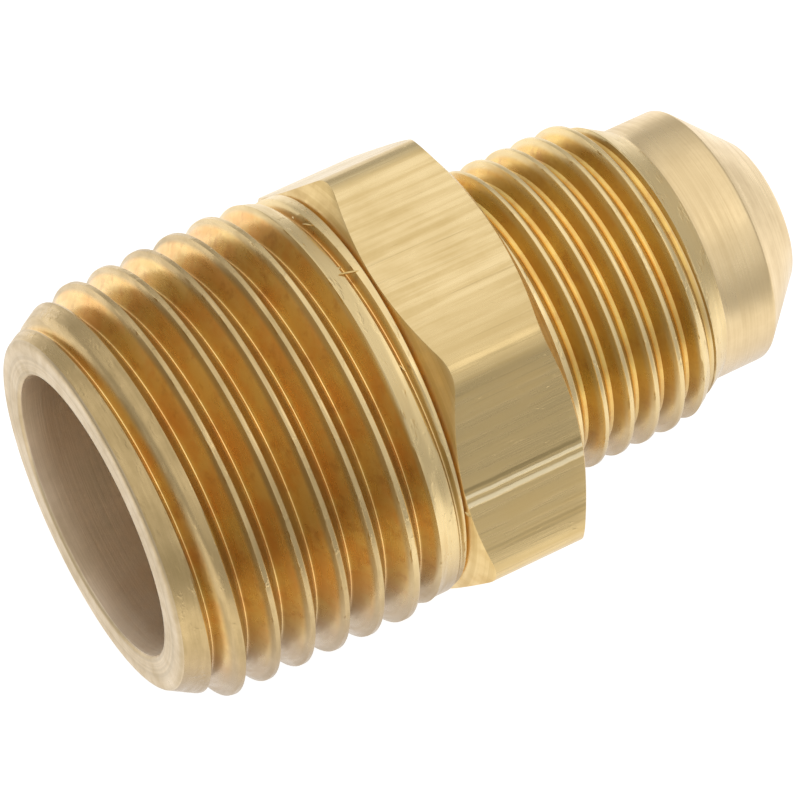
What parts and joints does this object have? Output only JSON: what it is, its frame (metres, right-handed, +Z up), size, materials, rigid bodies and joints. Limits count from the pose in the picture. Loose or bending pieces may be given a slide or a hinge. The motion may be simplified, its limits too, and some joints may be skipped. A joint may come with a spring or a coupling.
{
  "type": "flare connector fitting",
  "caption": "Brass flare fitting with a tapered pipe thread, a hexagon and a straight thread with a 45 degree flare seat, bored through.",
  "frame": {"origin": "centre of the flat end face at the pipe end, on the axis", "axes": "+X along the axis from the pipe end to the flare end, +Z up and square to two opposite hexagon flats, +Y through two opposite hexagon corners"},
  "size_m": [0.0367, 0.0232, 0.0214],
  "materials": {
    "brass": "as-turned threads and seat, drawn hexagon flats"
  },
  "bodies": {
    "root": {"connector_body": "brass"}
  },
  "joints": []
}
